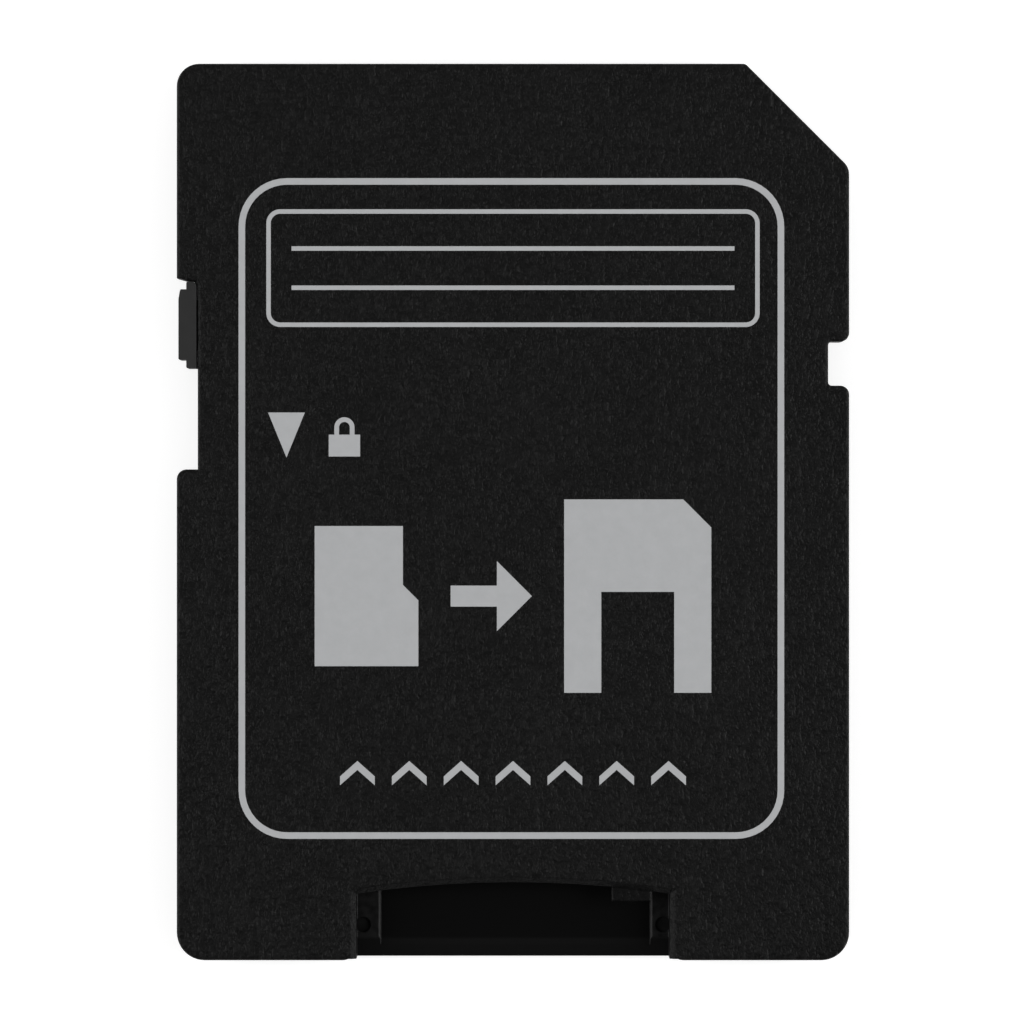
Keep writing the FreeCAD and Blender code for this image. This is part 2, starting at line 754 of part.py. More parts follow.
def top_cover():
    """The label-side shell, with the scoop that bares the end of the small card."""
    body = new_body("top_cover", z=s.parting_height)
    pad(body, draw(body, "cover_outline", [OUTLINE]), cover_height)
    round_outline(body)
    cut(body, draw(body, "scoop", [scoop_loop(ZERO)], offset=cover_height), cover_height)
    window_corner = edges_at(body, x=window_back, y=window_lead)
    dress(body, "Fillet", "window_corner", window_corner, s.window_inner_radius)
    dress(body, "Fillet", "top_edge", edges_at(body, z=cover_height), s.top_edge_radius)
    cut(body, draw(body, "cover_mouth", [mouth_loop()], offset=cover_height), cover_height)
    bevel = draw(body, "scoop_bevel", [scoop_loop(s.scoop_bevel)], offset=cover_height)
    cut(body, bevel, s.scoop_bevel, taper=BEVEL_ANGLE)
    depth = ceiling - s.parting_height
    cut(body, draw(body, "cover_slot", [SLOT]), depth, upward=True)
    cut(body, draw(body, "cover_bay", [BAY]), depth, upward=True)
    threshold = rectangle(slot_left, slot_end - BEYOND, step_right, bay_tail)
    cut(body, draw(body, "cover_threshold", [threshold]), depth, upward=True)
    cut(body, draw(body, "cover_hollows", HOLLOWS), depth, upward=True)
    cut(body, draw(body, "cover_leaf_pocket", [LEAF_POCKET]), depth, upward=True)
    cut(body, draw(body, "cover_channel", [CHANNEL]), s.flange_rise + s.slider_gap, upward=True)
    cut(body, draw(body, "cover_slit", [SLIT]), s.stem_height / 2 + s.slider_gap, upward=True)
    holes = draw_circles(body, "pin_holes", PINS, s.pin_radius + s.pin_gap)
    cut(body, holes, s.pin_height + s.pin_gap, upward=True)
    hold_down_ribs(body)
    tongue_right = slot_right - s.right_ledge_width
    tongue_tail = tail + s.scoop_depth - s.scoop_sagitta - s.tongue_reach
    tongue = rectangle(tongue_right - s.tongue_width, tongue_tail, tongue_right, tongue_tail + s.tongue_root)
    pad(body, draw(body, "tongue", [tongue], offset=depth), s.tongue_thickness)
    return body


def lock_slider():
    """The slider of the write lock, drawn from the card's edge, its own end and the parting plane."""
    body = new_body("lock_slider", x=left, y=slider_lead, z=s.parting_height)
    low_z = s.rail_step + s.slider_drop - s.parting_height
    height = s.card_thickness - s.rail_step - s.slider_drop * 2
    back = s.window_depth - s.slider_back_gap
    knob_lead = -s.knob_lead_gap
    knob_tail = knob_lead - s.knob_length
    side = [
        (back, ZERO),
        (s.slider_set_back, ZERO),
        (s.slider_set_back, knob_lead),
        (s.knob_set_back + s.knob_slope_drop, knob_lead),
        (s.knob_set_back, knob_lead - s.knob_slope),
        (s.knob_set_back, knob_tail),
        (s.slider_set_back, knob_tail),
        (s.slider_set_back, -s.slider_length),
        (back, -s.slider_length),
    ]
    pad(body, draw(body, "slider_side", [side], offset=low_z), height)
    corners = ((s.slider_set_back, ZERO), (s.slider_set_back, -s.slider_length),
               (s.knob_set_back, knob_tail), (s.knob_set_back + s.knob_slope_drop, knob_lead))
    for number, (x, y) in enumerate(corners):
        dress(body, "Fillet", f"slider_corner_{number}", edges_at(body, x=x, y=y), s.slider_radius)
    dress(body, "Fillet", "slider_back_corner", edges_at(body, x=back, y=ZERO), s.slider_back_radius)
    # Only the cover's window is round at this corner, so the lower half stays square
    heel = rectangle(back - s.slider_back_radius, -s.slider_back_radius, back, ZERO)
    pad(body, draw(body, "slider_heel", [heel], offset=low_z), -low_z - s.slider_gap)
    middle = -s.slider_length / 2
    flange_left = s.window_depth + s.channel_wall + s.slider_gap
    stem = rectangle(back - s.slider_radius, middle - s.stem_length / 2,
                     flange_left + s.flange_width / 2, middle + s.stem_length / 2)
    pad(body, draw(body, "slider_stem", [stem]), s.stem_height, symmetric=True)
    flange = rectangle(flange_left, middle - s.flange_length / 2,
                       flange_left + s.flange_width, middle + s.flange_length / 2)
    pad(body, draw(body, "slider_flange", [flange], offset=-s.flange_drop), s.flange_drop + s.flange_rise)
    return body


def lead_side(pad_middle, arm_middle, side):
    """Points down one side of a lead, from its pad to the root of its arm; side is -1 or 1."""
    half = s.lead_width / 2 * side
    return [
        (pad_middle + half, pad_tail),
        (pad_middle + half, pad_tail - s.lead_run),
        (arm_middle + half, bay_tail + s.lead_run),
        (arm_middle + half, slot_end),
    ]


def spring_arm(body, arm_middle):
    """The arm that rises from the lead to a crown and drops to its tip."""
    crown = slot_floor + s.arm_crown_rise - contact_depth
    tip = crown - s.arm_tip_drop
    thick = s.terminal_thickness
    side = [
        (slot_end + s.arm_flat, ZERO),
        (slot_end, ZERO),
        (arm_crown_lead, crown - thick),
        (arm_crown_tail, crown - thick),
        (arm_tip, tip - thick),
        (arm_tip, tip),
        (arm_crown_tail, crown),
        (arm_crown_lead, crown),
        (slot_end, thick),
        (slot_end + s.arm_flat, thick),
    ]
    sketch = draw(body, body.Name + "_arm", [side], plane="YZ_Plane", offset=arm_middle)
    pad(body, sketch, arm_width, symmetric=True)


def terminal(name, pad_number, arm_middle):
    """A stamped terminal: its pad, its lead and its spring arm."""
    body = new_body(name, z=contact_depth)
    middle = pad_middles[pad_number]
    half = WINDOWS[pad_number] / 2 + s.pad_overlap
    front = PAD_LEADS[pad_number]
    outline = [(middle - half, front), (middle - half, pad_tail)]
    outline += lead_side(middle, arm_middle, -1)
    outline += reversed(lead_side(middle, arm_middle, 1))
    outline += [(middle + half, pad_tail), (middle + half, front)]
    pad(body, draw(body, name + "_blank", [outline]), s.terminal_thickness)
    spring_arm(body, arm_middle)
    return body


def ground_terminal(name, pad_number, far_pad_number, arm_middle):
    """The terminal with two pads, joined by a bridge in front of the pads between them."""
    body = new_body(name, z=contact_depth)
    middle = pad_middles[pad_number]
    far_middle = pad_middles[far_pad_number]
    half = wide_window / 2 + s.pad_overlap
    bridge_tail = pad_lead + s.terminal_gap
    bridge_lead = bridge_tail + s.bridge_width
    outline = [(middle - half, bridge_lead), (middle - half, pad_tail)]
    outline += lead_side(middle, arm_middle, -1)
    outline += reversed(lead_side(middle, arm_middle, 1))
    outline += [
        (middle + half, pad_tail),
        (middle + half, bridge_tail),
        (far_middle - half, bridge_tail),
        (far_middle - half, pad_tail),
        (far_middle + half, pad_tail),
        (far_middle + half, bridge_lead),
    ]
    pad(body, draw(body, name + "_blank", [outline]), s.terminal_thickness)
    spring_arm(body, arm_middle)
    return body


def card_spring():
    """The leaf spring whose bump enters the notch of the small card, drawn from its root."""
    body = new_body("card_spring", x=leaf_x, y=leaf_tail, z=slot_floor + s.leaf_floor_gap)
    thick = s.leaf_thickness
    bump = s.leaf_length - s.leaf_bump_from_tip
    reach = s.leaf_set_back + s.leaf_bump_reach
    crown = s.leaf_bump_crown
    near, far = bump - s.leaf_bump_half, bump + s.leaf_bump_half
    side = [
        (ZERO, ZERO),
        (thick, ZERO),
        (thick, near),
        (thick - reach, bump - crown),
        (thick - reach, bump + crown),
        (thick, far),
        (thick, s.leaf_length),
        (ZERO, s.leaf_length),
        (ZERO, far),
        (-reach, bump + crown),
        (-reach, bump - crown),
        (ZERO, near),
    ]
    pad(body, draw(body, "leaf_side", [side]), s.leaf_height)
    return body


def frame_loops():
    """The round-cornered frame line: its outer and inner edge."""
    edges = (left + s.frame_left, tail + s.frame_tail, right - s.frame_right, lead - s.frame_lead)
    line = s.frame_line
    outer = rounded(*edges, s.frame_radius)
    inner = rounded(edges[0] + line, edges[1] + line, edges[2] - line, edges[3] - line,
                    s.frame_radius - line)
    return [outer, inner]


def lock_sign_loops():
    """The arrow that points the way to lock, and a closed padlock beside it."""
    middle = left + s.arrow_from_left
    top = lead - s.arrow_from_lead
    arrow = [(middle - s.arrow_width / 2, top), (middle, top - s.arrow_height),
             (middle + s.arrow_width / 2, top)]
    low_x = middle + s.arrow_width / 2 + s.padlock_gap
    high_x = low_x + s.padlock_width
    low_y = top - s.arrow_height + s.padlock_drop
    body_y = low_y + s.padlock_body
    top_y = body_y + s.padlock_rise
    radius = s.padlock_shackle / 2
    centre = (low_x + high_x) / 2
    bow_y = top_y - radius
    inner = radius - s.padlock_line
    outer_loop = [
        (low_x, low_y),
        (high_x, low_y),
        (high_x, body_y),
        (centre + radius, body_y),
        (centre + radius, bow_y, (centre, bow_y), radius),
        (centre, top_y, (centre, bow_y), radius),
        (centre - radius, bow_y),
        (centre - radius, body_y),
        (low_x, body_y),
    ]
    inner_loop = [
        (centre - inner, body_y),
        (centre + inner, body_y),
        (centre + inner, bow_y, (centre, bow_y), inner),
        (centre, bow_y + inner, (centre, bow_y), inner),
        (centre - inner, bow_y),
    ]
    return [arrow, outer_loop, inner_loop]


def writing_field_loops():
    """A thin box with ruled lines, to write on."""
    half = s.writing_width / 2
    high_y = lead - s.writing_from_lead
    low_y = high_y - s.writing_height
    line = s.writing_line
    loops = [
        rounded(-half, low_y, half, high_y, s.writing_radius),
        rounded(line - half, low_y + line, half - line, high_y - line, s.writing_radius - line),
    ]
    count = SIZES["writing_rules"]
    for number in range(count):
        middle = low_y + s.writing_height * (number + 1) / (count + 1)
        loops.append(rectangle(s.writing_margin - half, middle - line / 2,
                               half - s.writing_margin, middle + line / 2))
    return loops


def adapter_sign_loops():
    """A small card, an arrow and the adapter that it goes into, side by side."""
    width = s.sign_card_width + s.sign_gap * 2 + s.sign_arrow_length + s.sign_adapter_width
    middle_y = lead - s.sign_from_lead
    card_left = -width / 2
    card_right = card_left + s.sign_card_width
    card_low = middle_y - s.sign_card_height / 2
    card_high = middle_y + s.sign_card_height / 2
    card_step = card_high - s.sign_card_shoulder
    card = [
        (card_left, card_low),
        (card_right, card_low),
        (card_right, card_step - s.sign_card_step),
        (card_right - s.sign_card_step, card_step),
        (card_right - s.sign_card_step, card_high),
        (card_left, card_high),
    ]
    arrow_left = card_right + s.sign_gap
    arrow_right = arrow_left + s.sign_arrow_length
    head = s.sign_arrow_head / 2
    shaft = s.sign_arrow_shaft / 2
    arrow = [
        (arrow_left, middle_y - shaft),
        (arrow_right - head, middle_y - shaft),
        (arrow_right - head, middle_y - head),
        (arrow_right, middle_y),
        (arrow_right - head, middle_y + head),
        (arrow_right - head, middle_y + shaft),
        (arrow_left, middle_y + shaft),
    ]
    adapter_left = arrow_right + s.sign_gap
    adapter_right = adapter_left + s.sign_adapter_width
    adapter_low = middle_y - s.sign_height / 2
    adapter_high = middle_y + s.sign_height / 2
    slot_middle = (adapter_left + adapter_right) / 2
    slot_top = adapter_low + s.sign_slot_height
    adapter = [
        (adapter_left, adapter_low),
        (slot_middle - s.sign_slot_width / 2, adapter_low),
        (slot_middle - s.sign_slot_width / 2, slot_top),
        (slot_middle + s.sign_slot_width / 2, slot_top),
        (slot_middle + s.sign_slot_width / 2, adapter_low),
        (adapter_right, adapter_low),
        (adapter_right, adapter_high - s.sign_adapter_cut),
        (adapter_right - s.sign_adapter_cut, adapter_high),
        (adapter_left, adapter_high),
    ]
    return [card, arrow, adapter]


def chevron_loops():
    """A row of chevrons that point to the contact end."""
    count = SIZES["chevrons"]
    low_y = lead - s.chevrons_from_lead
    loops = []
    for number in range(count):
        middle = s.chevron_pitch * (number - (count - 1) / 2)
        loops.append([
            (middle - s.chevron_half, low_y),
            (middle, low_y + s.chevron_rise),
            (middle + s.chevron_half, low_y),
            (middle + s.chevron_half, low_y + s.chevron_line),
            (middle, low_y + s.chevron_rise + s.chevron_line),
            (middle - s.chevron_half, low_y + s.chevron_line),
        ])
    return loops


def face_print():
    """The ink on the label face, one thin layer of separate shapes."""
    body = new_body("face_print", z=s.card_thickness)
    groups = (
        ("print_frame", frame_loops()),
        ("print_lock", lock_sign_loops()),
        ("print_writing", writing_field_loops()),
        ("print_sign", adapter_sign_loops()),
        ("print_chevrons", chevron_loops()),
    )
    for name, loops in groups:
        pad(body, draw(body, name, loops), s.ink_thickness)
    return body


def terminals():
    """Eight terminals in the order of their arms; the sixth joins two pads."""
    bodies = []
    for arm, pad_number in ((1, 0), (2, 1), (3, 2), (4, 4), (5, 5), (7, 7), (8, 8)):
        bodies.append(terminal(f"terminal_{arm}", pad_number, arm_middles[arm - 1]))
    bodies.append(ground_terminal("terminal_6_ground", 6, 3, arm_middles[5]))
    return bodies


pieces = [base_shell(), terminal_block(), top_cover(), lock_slider(), card_spring(), face_print()]
pieces += terminals()
doc.recompute()

for item in doc.Objects:
    if "Invalid" in item.State or "Error" in item.State:
        raise RuntimeError(f"{item.Name} failed: {item.State}")
for piece in pieces:
    if piece.Shape.isNull() or not piece.Shape.isValid():
        raise RuntimeError(f"{piece.Label} has no valid shape")

os.makedirs("parts", exist_ok=True)
for piece in pieces:
    piece.Shape.exportStep(f"parts/{piece.Label}.step")
    print(piece.Label, len(piece.Shape.Solids), round(piece.Shape.Volume, 4))
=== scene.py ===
# %% [markdown]
# # A memory card adapter
# The object is a flat black plastic body, 24 by 32 by 2.1 mm, with an empty slot for a smaller card,
# a grey lock slider in its left edge and light grey print on its label face. Its solids come from CAD
# and stay where they are. Here they get their edges, finishes, light and camera.

import bmesh
import bpy
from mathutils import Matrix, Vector


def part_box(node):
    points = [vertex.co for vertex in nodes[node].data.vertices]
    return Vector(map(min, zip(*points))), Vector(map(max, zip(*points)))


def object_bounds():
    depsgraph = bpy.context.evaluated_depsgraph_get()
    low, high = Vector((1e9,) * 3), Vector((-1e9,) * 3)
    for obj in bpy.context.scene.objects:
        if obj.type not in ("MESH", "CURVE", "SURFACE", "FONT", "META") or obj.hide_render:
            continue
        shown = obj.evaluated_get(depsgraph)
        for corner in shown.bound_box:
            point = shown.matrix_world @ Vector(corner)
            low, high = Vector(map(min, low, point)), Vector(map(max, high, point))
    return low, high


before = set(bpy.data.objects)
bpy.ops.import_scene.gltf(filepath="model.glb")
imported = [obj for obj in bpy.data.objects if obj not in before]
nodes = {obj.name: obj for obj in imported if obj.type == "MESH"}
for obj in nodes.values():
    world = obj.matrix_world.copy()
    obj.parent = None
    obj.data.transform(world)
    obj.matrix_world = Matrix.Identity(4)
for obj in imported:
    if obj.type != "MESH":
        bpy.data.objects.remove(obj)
cad_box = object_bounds()
MM = 0.001
print("solids:", sorted(nodes))
print("size in mm:", [round(side / MM, 2) for side in cad_box[1] - cad_box[0]])

# %% [markdown]
# ## Camera
# The picture was taken from straight above with a long lens: both side walls of the slot are hidden,
# and left and right edges are equally wide. An orthographic camera would give that too, but a real
# lens keeps a little depth, so this is a 200 mm lens on a 36 mm sensor. Its height follows from how
# much of the label face fits into the frame, 36.53 mm.

# %% Place the camera
SENSOR = 36.0
LENS = 200.0
VIEW_WIDTH = 36.53 * MM
VIEW_MIDDLE = -0.035 * MM
NEAREST_SEEN = 10 * MM
label_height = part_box("top_cover")[1].z
camera_data = bpy.data.cameras.new("camera")
camera_data.sensor_width = SENSOR
camera_data.lens = LENS
camera_data.clip_start = NEAREST_SEEN
camera = bpy.data.objects.new("camera", camera_data)
bpy.context.collection.objects.link(camera)
camera.location = (VIEW_MIDDLE, 0.0, label_height + VIEW_WIDTH * LENS / SENSOR)
bpy.context.scene.camera = camera
print("camera height in mm:", round(camera.location.z / MM, 1))

# %% [markdown]
# ## A small kit for node materials
# Every finish below is a handful of nodes. Adding a node, setting its inputs and wiring it takes
# three lines each time, so these helpers do it in one. Patterns read the Object coordinates, which
# are metres here, and a Mapping node turns them into millimetres.

# %% Helpers for materials
WHITE = (1.0, 1.0, 1.0, 1.0)


def new_material(name):
    """A material with only its output and its main shader."""
    material = bpy.data.materials.new(name)
    material.use_nodes = True
    tree = material.node_tree
    return material, tree, tree.nodes["Principled BSDF"]


def add_node(tree, kind, inputs=(), **settings):
    """A node of this kind, with settings by name, and inputs as (name, value or socket)."""
    node = tree.nodes.new(kind)
    for name, value in settings.items():
        setattr(node, name, value)
    for name, value in inputs:
        if isinstance(value, bpy.types.NodeSocket):
            tree.links.new(value, node.inputs[name])
        else:
            node.inputs[name].default_value = value
    return node


def calculate(tree, operation, *values):
    """The result of one Math node, from numbers or sockets."""
    return add_node(tree, "ShaderNodeMath", enumerate(values), operation=operation).outputs[0]


def millimetres(tree, stretch=(1, 1, 1)):
    """Object coordinates in millimetres, stretched along each axis."""
    place = add_node(tree, "ShaderNodeTexCoord").outputs["Object"]
    scale = [factor / MM for factor in stretch]
    mapping = add_node(tree, "ShaderNodeMapping", [("Vector", place), ("Scale", scale)])
    return mapping.outputs["Vector"]


def noise(tree, vector, scale, detail=2.0, roughness=0.5):
    """A noise pattern, from 0 to 1, with this many blobs to the millimetre."""
    inputs = [("Vector", vector), ("Scale", scale), ("Detail", detail), ("Roughness", roughness)]
    return add_node(tree, "ShaderNodeTexNoise", inputs).outputs["Fac"]


def ramp(tree, fac, *stops):
    """A colour ramp through stops of (position, colour)."""
    node = add_node(tree, "ShaderNodeValToRGB", [("Fac", fac)])
    elements = node.color_ramp.elements
    while len(elements) < len(stops):
        elements.new(0.5)
    for element, (position, colour) in zip(elements, stops):
        element.position = position
        element.color = (*colour, 1.0)
    return node.outputs["Color"]


def grey(level, tint=(1.0, 1.0, 1.0)):
    """A shade given as a screen value from 0 to 255, as the shader needs it."""
    screen = level / 255
    linear = screen / 12.92 if screen <= 0.04045 else ((screen + 0.055) / 1.055) ** 2.4
    return tuple(linear * part for part in tint)


def grey_ramp(tree, fac, stops, tint=(1.0, 1.0, 1.0)):
    """A colour ramp through stops of (position, screen value)."""
    return ramp(tree, fac, *((position, grey(level, tint)) for position, level in stops))


def between(tree, fac, low_from, low_to, to_low, to_high):
    """fac moved from one range to another, and held inside it."""
    inputs = [("Value", fac), ("From Min", low_from), ("From Max", low_to),
              ("To Min", to_low), ("To Max", to_high)]
    return add_node(tree, "ShaderNodeMapRange", inputs).outputs["Result"]


def bump(tree, height, strength, depth, *inputs):
    """Normals of a surface that rises with height, as deep as this many millimetres."""
    settings = [("Height", height), ("Strength", strength), ("Distance", depth * MM), *inputs]
    return add_node(tree, "ShaderNodeBump", settings).outputs["Normal"]


def ray_kinds(tree):
    """The Light Path outputs, and a socket that is 1 for reflections and refractions."""
    path = add_node(tree, "ShaderNodeLightPath").outputs
    return path, calculate(tree, "MAXIMUM", path["Is Glossy Ray"], path["Is Transmission Ray"])


def dress(material, *names):
    """Give these solids the material, in place of the one they came with."""
    for name in names:
        nodes[name].data.materials.clear()
        nodes[name].data.materials.append(material)
    print(material.name, "on", ", ".join(names))


# %% [markdown]
# ## Black moulded plastic
# The shells are black, but not flat: their mould was spark-eroded, which leaves a grain of tiny
# craters about a tenth of a millimetre across. Light from the side makes each crater a light and a
# dark fleck. Real displacement would need millions of faces, so a Bump node does it. Only the outer
# faces have the grain. The slot and the insides are smooth, so masks find each zone by its place:
# the outer layer of the box, and in the slot the ledges that carry the small card and the bevel at
# its mouth. These two get painted light: they are coloured lighter than the rest of the slot.

# %% The grain, and where each finish is
GRAIN_STRETCH = (1.0, 0.65, 1.0)
GRAIN_SCALE = 6.0
GRAIN_ROUGHNESS = 0.6
OUTER_LAYERS = (0.04, 0.04, 0.2)
LAYER_FADE = 0.03
print("grain: blobs of about", round(1 / GRAIN_SCALE, 2), "mm, with finer ones on them")


def grain(tree):
    """The craters that a spark-eroded mould leaves."""
    return noise(tree, millimetres(tree, GRAIN_STRETCH), GRAIN_SCALE, roughness=GRAIN_ROUGHNESS)


def away_from(tree, value, place):
    """How far the value is from the place."""
    return calculate(tree, "ABSOLUTE", calculate(tree, "SUBTRACT", value, place))


def near(tree, value, place, reach):
    """1 where the value is at the place, falling to 0 at this reach from it."""
    return between(tree, away_from(tree, value, place), reach / 2, reach, 1.0, 0.0)


def outside_mask(tree, place):
    """1 on the faces of the outer box of the object, 0 inside it."""
    low, high = (corner / MM for corner in cad_box)
    reach = None
    for number, (axis, layer) in enumerate(zip("XYZ", OUTER_LAYERS)):
        middle = (low[number] + high[number]) / 2
        half = (high[number] - low[number]) / 2
        beyond = calculate(tree, "SUBTRACT", away_from(tree, place[axis], middle), half - layer)
        reach = beyond if reach is None else calculate(tree, "MAXIMUM", reach, beyond)
    return between(tree, reach, -LAYER_FADE, 0.0, 0.0, 1.0)


def blend(tree, mask, first, second):
    """The first colour where the mask is 0 and the second where it is 1."""
    node = add_node(tree, "ShaderNodeMix", [("Factor", mask)], data_type="RGBA")
    for name, colour in (("A", first), ("B", second)):
        if isinstance(colour, bpy.types.NodeSocket):
            tree.links.new(colour, node.inputs[name])
        else:
            node.inputs[name].default_value = (*colour, 1.0)
    return node.outputs["Result"]


# %% [markdown]
# The finish itself puts these masks to work. The seam where the two shells were welded is a line
# a few hundredths of a millimetre wide, which the same Bump node sinks into the side walls. Moulded
# edges are never sharp, so a Bevel node turns the normals near each edge as a small radius would.
# Lengths are in millimetres here, and shades are screen values from 0 to 255.

# %% The shells' plastic
LEDGE_HEIGHT, LEDGE_REACH = 0.92, 0.11
PARTING_HEIGHT, SEAM_REACH = 1.4, 0.03
MOUTH_START, MOUTH_FADE = -15.24, 0.1
CRATER_SHARE = 0.85
CLOUD_SCALE = 0.35
MARBLE_SCALE = 3.5
GRAINED = ((0.32, 7), (0.5, 11), (0.68, 19))
# Painted light: the ledges in the slot are coloured lighter than the slot floor, in slow mottles.
LEDGE_PAINTED_LIGHT = ((0.35, 16), (0.65, 28))
# The second shade in this line is painted light: the bevel at the mouth of the slot is coloured
# lighter than the inside.
INSIDE_SHADE, MOUTH_PAINTED_LIGHT, SEAM_SHADE = 8, 15, 3
SEAM_STRENGTH = 0.7
INNER_ROUGHNESS, OUTER_ROUGHNESS = 0.36, 0.52
INNER_RADIUS, OUTER_RADIUS = 0.05, 0.12
BEVEL_SAMPLES = 6
RELIEF_STRENGTH, RELIEF_DEPTH = 0.8, 0.13
SHELL_SHINE = 0.15


def shell_plastic():
    """Black plastic with a spark-eroded grain on its outer faces, and painted light on the slot's
    ledges and mouth.
    """
    material, tree, shader = new_material("shell_plastic")
    vector = millimetres(tree)
    place = add_node(tree, "ShaderNodeSeparateXYZ", [("Vector", vector)]).outputs
    outside = outside_mask(tree, place)
    ledge = near(tree, place["Z"], LEDGE_HEIGHT, LEDGE_REACH)
    seam = calculate(tree, "MULTIPLY", outside, near(tree, place["Z"], PARTING_HEIGHT, SEAM_REACH))
    # Painted light: the bevel at the mouth of the slot is coloured lighter, for the light it catches.
    mouth_painted_light = between(tree, place["Y"], MOUTH_START - MOUTH_FADE, MOUTH_START, 1.0, 0.0)
    craters = grain(tree)
    clouds = noise(tree, vector, CLOUD_SCALE, 1.0)
    shade = calculate(tree, "ADD", calculate(tree, "MULTIPLY", craters, CRATER_SHARE),
                      calculate(tree, "MULTIPLY", clouds, 1 - CRATER_SHARE))
    grained = grey_ramp(tree, shade, GRAINED)
    # Painted light: the ledges are coloured lighter than the rest of the slot, with slow mottles.
    ledge_painted_light = grey_ramp(tree, noise(tree, vector, MARBLE_SCALE, 3.0), LEDGE_PAINTED_LIGHT)
    inner = blend(tree, mouth_painted_light, blend(tree, ledge, grey(INSIDE_SHADE), ledge_painted_light), grey(MOUTH_PAINTED_LIGHT))
    colour = blend(tree, outside, inner, grained)
    seam_mask = calculate(tree, "MULTIPLY", seam, SEAM_STRENGTH)
    tree.links.new(blend(tree, seam_mask, colour, grey(SEAM_SHADE)), shader.inputs["Base Color"])
    tree.links.new(between(tree, outside, 0, 1, INNER_ROUGHNESS, OUTER_ROUGHNESS),
                   shader.inputs["Roughness"])
    radius = between(tree, outside, 0, 1, INNER_RADIUS * MM, OUTER_RADIUS * MM)
    soft_edges = add_node(tree, "ShaderNodeBevel", [("Radius", radius)], samples=BEVEL_SAMPLES)
    height = calculate(tree, "SUBTRACT", calculate(tree, "MULTIPLY", craters, outside), seam)
    tree.links.new(bump(tree, height, RELIEF_STRENGTH, RELIEF_DEPTH,
                        ("Normal", soft_edges.outputs["Normal"])), shader.inputs["Normal"])
    shader.inputs["Specular IOR Level"].default_value = SHELL_SHINE
    return material


dress(shell_plastic(), "top_cover", "base_shell", "terminal_block")

# %% [markdown]
# ## Dark grey slider
# The lock slider is moulded in its own mould from a lighter plastic, and it is polished: it has no
# grain at all in the picture. One even colour would look like paint, so slow clouds of a slightly
# different shade run through it, as the flow of the plastic leaves them.

# %% The slider's plastic
FLOW_SCALE, POLISH_SCALE = 1.2, 3.0
SLIDER_SHADES = ((0.3, 40), (0.7, 44))
SLIDER_ROUGHNESS = (0.38, 0.46)
SLIDER_SHINE = 0.35


def slider_plastic():
    """Smooth dark grey plastic."""
    material, tree, shader = new_material("slider_plastic")
    vector = millimetres(tree)
    flow = noise(tree, vector, FLOW_SCALE, 3.0)
    tree.links.new(grey_ramp(tree, flow, SLIDER_SHADES), shader.inputs["Base Color"])
    polish = noise(tree, vector, POLISH_SCALE)
    tree.links.new(between(tree, polish, 0.2, 0.8, *SLIDER_ROUGHNESS), shader.inputs["Roughness"])
    shader.inputs["Specular IOR Level"].default_value = SLIDER_SHINE
    return material


dress(slider_plastic(), "lock_slider")

# %% [markdown]
# ## Light grey ink
# The print is a thin coat of ink, pressed on by a soft pad. It is matt and even, and the grain
# under it still shows faintly, so its bump reads the same noise as the plastic, only weaker.

# %% The ink
INK_SCALE = 2.5
INK_SHADES = ((0.3, 164), (0.7, 169))
INK_TINT = (0.985, 1.0, 1.02)
INK_ROUGHNESS = 0.6
INK_RELIEF_STRENGTH, INK_RELIEF_DEPTH = 0.15, 0.02


def face_ink():
    """Matt light grey ink over the grain."""
    material, tree, shader = new_material("face_ink")
    cover = noise(tree, millimetres(tree), INK_SCALE, 4.0, 0.6)
    tree.links.new(grey_ramp(tree, cover, INK_SHADES, INK_TINT), shader.inputs["Base Color"])
    shader.inputs["Roughness"].default_value = INK_ROUGHNESS
    tree.links.new(bump(tree, grain(tree), INK_RELIEF_STRENGTH, INK_RELIEF_DEPTH),
                   shader.inputs["Normal"])
    return material


dress(face_ink(), "face_print")

# %% [markdown]
# ## Gilt contacts and spring steel
# The terminals are stamped from a copper alloy and plated with a very thin layer of gold, so they
# are pale and a little rough along the direction in which the strip was rolled. The leaf spring is
# plain steel strip, rolled the same way. Both are one metal shader, with streaks in its roughness.

# %% The metals
GILT_SHADES = (0.3, (0.78, 0.56, 0.24)), (0.7, (0.9, 0.7, 0.36))
STEEL_SHADES = (0.3, (0.5, 0.5, 0.49)), (0.7, (0.62, 0.62, 0.6))
GILT_ROUGHNESS, STEEL_ROUGHNESS, ROUGHNESS_SPREAD = 0.26, 0.3, 0.06
GILT_STREAKS = (14, 1.2, 14)
STEEL_STREAKS = (14, 1.2, 3)
STREAK_STRENGTH, STREAK_DEPTH = 0.25, 0.01


def rolled_metal(name, shades, roughness, along):
    """Metal strip with fine streaks: a small number in along stretches them on that axis."""
    material, tree, shader = new_material(name)
    streaks = noise(tree, millimetres(tree, along), 1.0, 4.0, 0.65)
    tree.links.new(ramp(tree, streaks, *shades), shader.inputs["Base Color"])
    tree.links.new(between(tree, streaks, 0.2, 0.8, roughness - ROUGHNESS_SPREAD,
                           roughness + ROUGHNESS_SPREAD), shader.inputs["Roughness"])
    shader.inputs["Metallic"].default_value = 1.0
    tree.links.new(bump(tree, streaks, STREAK_STRENGTH, STREAK_DEPTH), shader.inputs["Normal"])
    return material


gilt = rolled_metal("contact_plating", GILT_SHADES, GILT_ROUGHNESS, GILT_STREAKS)
steel = rolled_metal("spring_steel", STEEL_SHADES, STEEL_ROUGHNESS, STEEL_STREAKS)
dress(gilt, *(name for name in nodes if name.startswith("terminal_") and name != "terminal_block"))
dress(steel, "card_spring")

# %% [markdown]
# ## Floor
# The card lies on a white table. A floor that is only lit white would need so much light that the
# card turned grey, so the floor adds its own glow for the camera and for reflections, and the lamps
# put the soft shadow on it. From below it can be looked through, to show the back of the card.

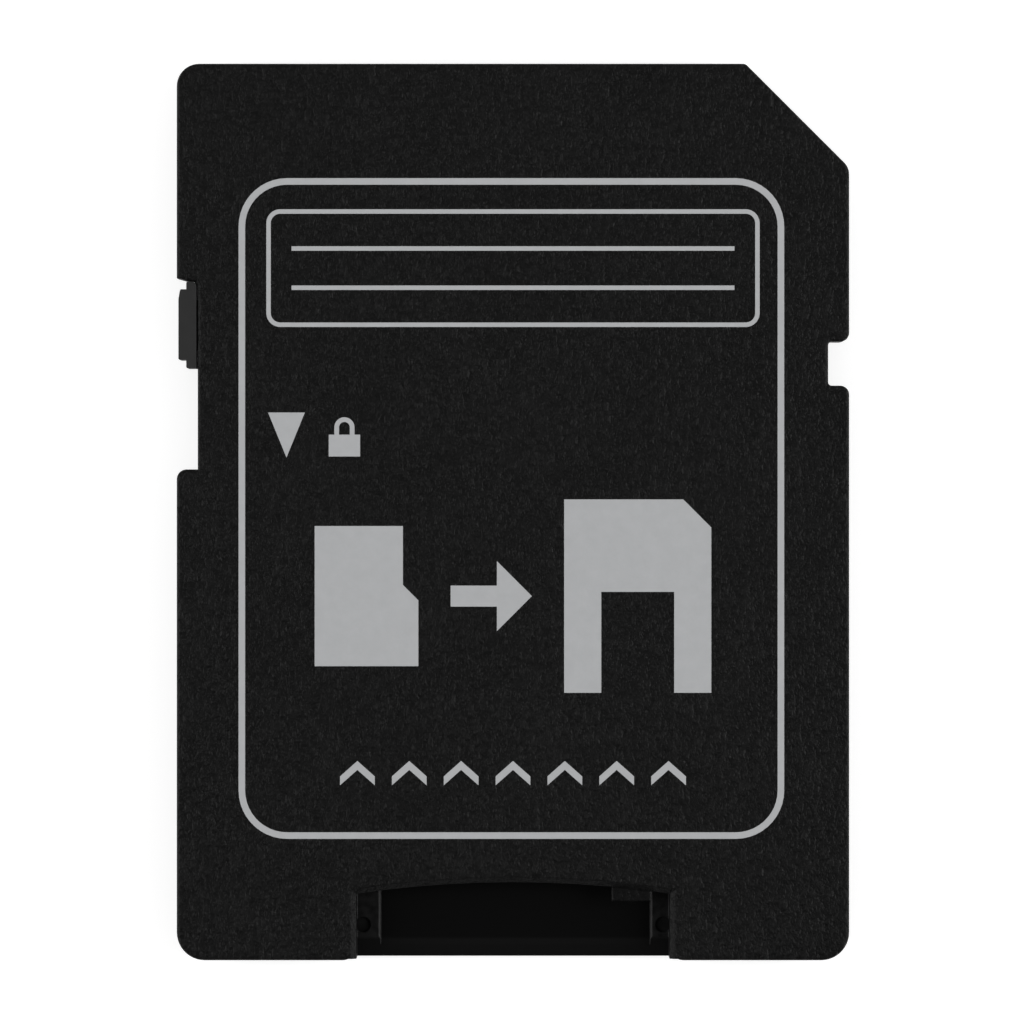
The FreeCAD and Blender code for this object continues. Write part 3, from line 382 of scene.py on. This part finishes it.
# %% Make the floor
FLOOR_HALF = 0.6
CLOTH = 0.55
GLOW = 0.65
MIRRORED_GLOW = 0.25
floor_mesh = bmesh.new()
bmesh.ops.create_grid(floor_mesh, x_segments=1, y_segments=1, size=FLOOR_HALF)
floor_data = bpy.data.meshes.new("floor")
floor_mesh.to_mesh(floor_data)
floor_mesh.free()
floor = bpy.data.objects.new("floor", floor_data)
bpy.context.collection.objects.link(floor)

material, tree, shader = new_material("white_table")
tree.nodes.remove(shader)
path, mirrored = ray_kinds(tree)
glow_seen = calculate(tree, "ADD", calculate(tree, "MULTIPLY", path["Is Camera Ray"], GLOW),
                      calculate(tree, "MULTIPLY", mirrored, MIRRORED_GLOW))
cloth = add_node(tree, "ShaderNodeBsdfDiffuse", [("Color", (CLOTH, CLOTH, CLOTH, 1.0))])
glow = add_node(tree, "ShaderNodeEmission", [("Color", WHITE), ("Strength", glow_seen)])
lit = add_node(tree, "ShaderNodeAddShader", [(0, cloth.outputs[0]), (1, glow.outputs[0])])
clear = add_node(tree, "ShaderNodeBsdfTransparent")
back = add_node(tree, "ShaderNodeNewGeometry").outputs["Backfacing"]
from_below = calculate(tree, "MULTIPLY", back, path["Is Camera Ray"])
sides = add_node(tree, "ShaderNodeMixShader",
                 [("Fac", from_below), (1, lit.outputs[0]), (2, clear.outputs[0])])
tree.links.new(sides.outputs[0], tree.nodes["Material Output"].inputs["Surface"])
floor_data.materials.append(material)
print("floor of", FLOOR_HALF * 2, "m, white to the camera and clear from below")

# %% [markdown]
# ## Light
# The long edges of the card carry a thin bright line and the short ones don't, so the lamps stand
# left and right of it. Two soft boxes do that, the right one a little stronger, and a weak third one
# lights the contact end. Straight above it is dark, or the black plastic would reflect the ceiling.

# %% Hang the lamps
LAMPS = {
    "lamp_right": ((0.25, 0.0, 0.14), (0.12, 0.26), 0.62),
    "lamp_left": ((-0.25, 0.0, 0.14), (0.12, 0.26), 0.52),
    "lamp_lead": ((0.0, 0.26, 0.16), (0.2, 0.1), 0.08),
}


def soft_box(name, place, size, power):
    """A rectangular lamp aimed at the card: place and size in metres, power in watts."""
    data = bpy.data.lights.new(name, "AREA")
    data.shape = "RECTANGLE"
    data.size, data.size_y = size
    data.energy = power
    lamp = bpy.data.objects.new(name, data)
    bpy.context.collection.objects.link(lamp)
    lamp.location = place
    lamp.rotation_euler = (-Vector(place)).to_track_quat("-Z", "Y").to_euler()
    print(name, "at", place, "with", power, "W")


for name, (place, size, power) in LAMPS.items():
    soft_box(name, place, size, power)

# %% [markdown]
# ## Room
# The world around the table gives the rest of the light, evenly from all sides. The camera sees it
# as plain white. Reflections see it nearly black, a little lighter near the table than overhead,
# or a grey veil would lie on the black plastic.

# %% Make the room
AMBIENT = 0.4
HORIZON_HEIGHT, HORIZON_GLOW = 0.02, 0.1
OVERHEAD_HEIGHT, OVERHEAD_GLOW = 0.3, 0.01
world = bpy.data.worlds.new("room")
world.use_nodes = True
bpy.context.scene.world = world
tree = world.node_tree
path, mirrored = ray_kinds(tree)
direction = add_node(tree, "ShaderNodeTexCoord").outputs["Generated"]
height = add_node(tree, "ShaderNodeSeparateXYZ", [("Vector", direction)]).outputs["Z"]
reflected = between(tree, height, HORIZON_HEIGHT, OVERHEAD_HEIGHT, HORIZON_GLOW, OVERHEAD_GLOW)
level = add_node(tree, "ShaderNodeMix", [("Factor", mirrored), ("A", AMBIENT), ("B", reflected)])
strength = calculate(tree, "MAXIMUM", level.outputs["Result"], path["Is Camera Ray"])
tree.nodes["Background"].inputs["Color"].default_value = WHITE
tree.links.new(strength, tree.nodes["Background"].inputs["Strength"])
bpy.context.scene.view_settings.view_transform = "Standard"
print("room light:", AMBIENT, "all round")
